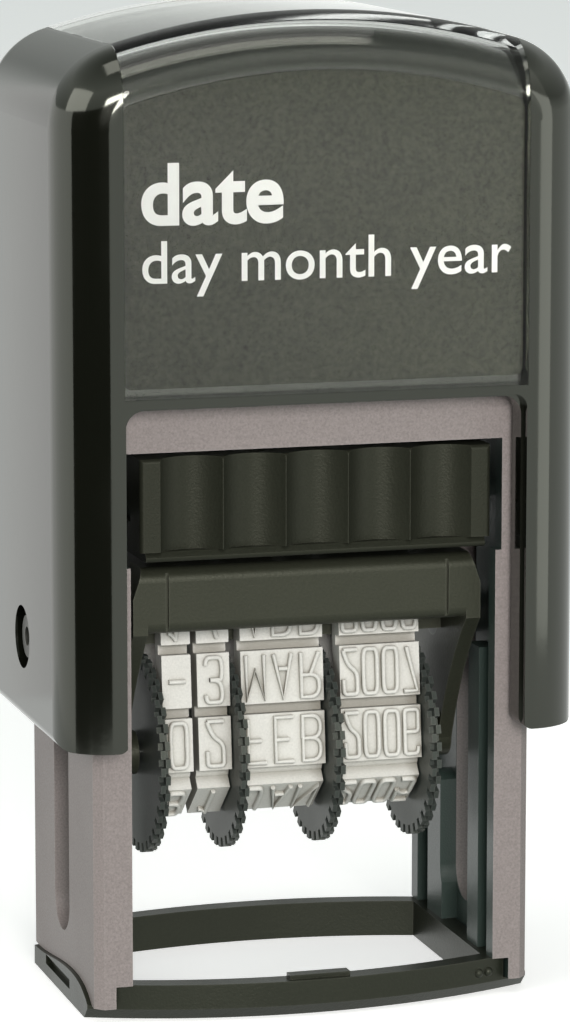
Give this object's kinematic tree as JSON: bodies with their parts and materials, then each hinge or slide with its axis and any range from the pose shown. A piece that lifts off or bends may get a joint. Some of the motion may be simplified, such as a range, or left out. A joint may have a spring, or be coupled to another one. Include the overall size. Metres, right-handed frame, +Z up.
{
  "type": "self-inking date stamp",
  "caption": "Upright self-inking rotary date stamp: sprung press cap on a frame, with a turn-over date unit, thumbwheels and slide-in ink cartridge.",
  "frame": {"origin": "centre of the base footprint, on the surface the stamp stands on", "axes": "+X along the printed date to the right as seen from the front, -Y towards the front with the cartridge grip, +Z up towards the press cap"},
  "size_m": [0.0426, 0.0292, 0.08],
  "materials": {
    "cap_black": "gloss",
    "clear_cover": "clear gloss",
    "label_card": "matte printed card",
    "frame_grey": "fine matte",
    "ring_black": "fine matte",
    "cartridge_black": "fine matte",
    "ink_felt": "inked felt",
    "yoke_black": "satin",
    "pin_grey": "satin",
    "wheel_black": "satin",
    "band_rubber": "matte",
    "axle_steel": "brushed",
    "spring_steel": "drawn wire"
  },
  "bodies": {
    "frame": {"base_frame": "frame_grey", "base_ring": "ring_black", "return_spring": "spring_steel"},
    "cap": {"cap_shell": "cap_black", "index_cover": "clear_cover", "label_card": "label_card"},
    "ink_cartridge": {"ink_cartridge_case": "cartridge_black", "ink_pad": "ink_felt"},
    "dater": {"dater_yoke": "yoke_black", "pivot_pin_left": "pin_grey", "pivot_pin_right": "pin_grey", "platen": "yoke_black", "wheel_axle": "axle_steel", "day_tens_band": "band_rubber", "day_units_band": "band_rubber", "month_band": "band_rubber", "year_band": "band_rubber"},
    "wheel_day_tens": {"day_tens_wheel": "wheel_black"},
    "wheel_day_units": {"day_units_wheel": "wheel_black"},
    "wheel_month": {"month_wheel": "wheel_black"},
    "wheel_year": {"year_wheel": "wheel_black"}
  },
  "joints": [
    {"name": "cap_press", "type": "slide", "parent": "frame", "child": "cap", "axis": [0, 0, -1], "range_m": [0, 0.0225], "stiffness_N_per_m": 150, "springref_m": -0.02, "deforming": ["return_spring"]},
    {"name": "dater_flip", "type": "hinge", "parent": "cap", "child": "dater", "pos_m": [0, 0, 0.0296], "axis": [1, 0, 0], "range_deg": [0, 180]},
    {"name": "cartridge_slide", "type": "slide", "parent": "frame", "child": "ink_cartridge", "axis": [0, 1, 0], "range_m": [-0.024, 0]},
    {"name": "day_tens_turn", "type": "hinge", "parent": "dater", "child": "wheel_day_tens", "pos_m": [0, 0, 0.01955], "axis": [1, 0, 0], "continuous": true},
    {"name": "day_units_turn", "type": "hinge", "parent": "dater", "child": "wheel_day_units", "pos_m": [0, 0, 0.01955], "axis": [1, 0, 0], "continuous": true},
    {"name": "month_turn", "type": "hinge", "parent": "dater", "child": "wheel_month", "pos_m": [0, 0, 0.01955], "axis": [1, 0, 0], "continuous": true},
    {"name": "year_turn", "type": "hinge", "parent": "dater", "child": "wheel_year", "pos_m": [0, 0, 0.01955], "axis": [1, 0, 0], "continuous": true}
  ],
  "couplings": [
    {"joint": "dater_flip", "follows": "cap_press", "rad_per_m": 139.62}
  ]
}
